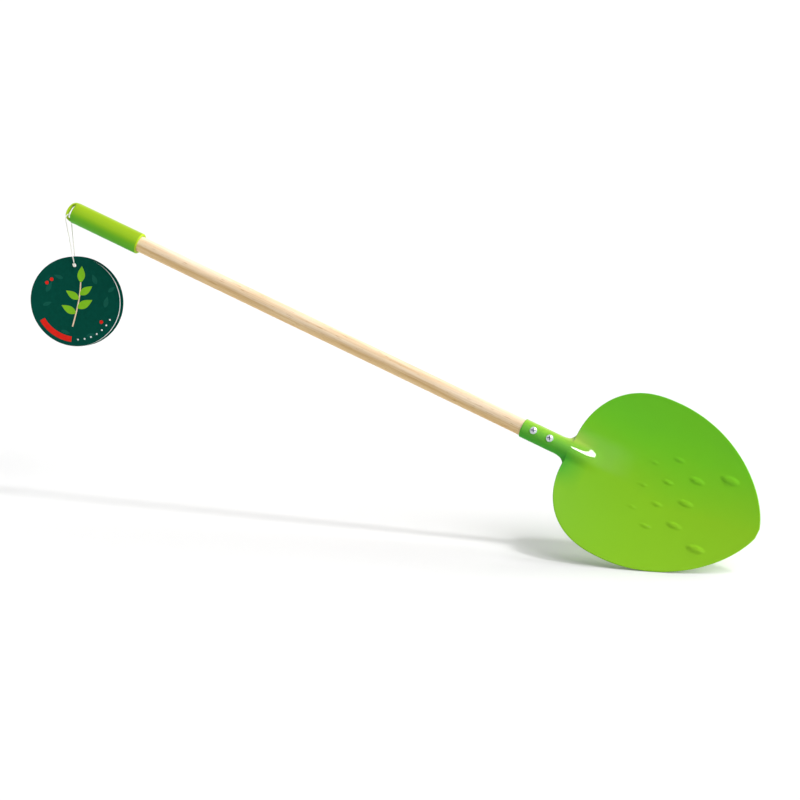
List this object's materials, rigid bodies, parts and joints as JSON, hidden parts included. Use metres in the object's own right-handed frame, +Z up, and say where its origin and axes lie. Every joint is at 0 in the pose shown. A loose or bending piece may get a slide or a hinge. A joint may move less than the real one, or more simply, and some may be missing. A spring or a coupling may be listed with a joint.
{
  "type": "childrens spade",
  "caption": "Long-handled child's spade: dished leaf-shaped steel blade with a rolled socket, wooden pole, moulded grip with a hanging eye and a round tag on a string; digs and scoops.",
  "frame": {"origin": "middle of the grip on the pole's axis, where a hand holds the spade", "axes": "+Z up; the pole runs towards +X and slopes 21 degrees down from the grip to the blade; the blade's hollow face is rolled 60 degrees from level towards -Y"},
  "size_m": [0.7621, 0.0847, 0.3091],
  "materials": {
    "green_paint": "glossy",
    "pale_wood": "sanded",
    "lime_plastic": "satin",
    "bright_screw": "zinc plated",
    "white_string": "twisted cotton",
    "tag_card": "printed, satin"
  },
  "bodies": {
    "spade": {"blade": "green_paint", "handle_dowel": "pale_wood", "grip": "lime_plastic", "socket_screw_upper": "bright_screw", "socket_screw_lower": "bright_screw"},
    "string": {"tag_string": "white_string", "string_knot": "white_string"},
    "front_leaf": {"tag_front_leaf": "tag_card"},
    "rear_leaf": {"tag_rear_leaf": "tag_card"}
  },
  "joints": [
    {"name": "string_swing", "type": "hinge", "parent": "spade", "child": "string", "pos_m": [-0.04252, -0.00443, 0.00811], "axis": [0.9925, -0.1219, 0], "range_deg": [-75, 75]},
    {"name": "front_leaf_pivot", "type": "hinge", "parent": "string", "child": "front_leaf", "pos_m": [-0.03776, -0.00288, -0.03834], "axis": [0.309, -0.9511, 0], "range_deg": [-45, 45]},
    {"name": "rear_leaf_pivot", "type": "hinge", "parent": "string", "child": "rear_leaf", "pos_m": [-0.03776, -0.00288, -0.03834], "axis": [0.309, -0.9511, 0], "range_deg": [-45, 45]}
  ]
}
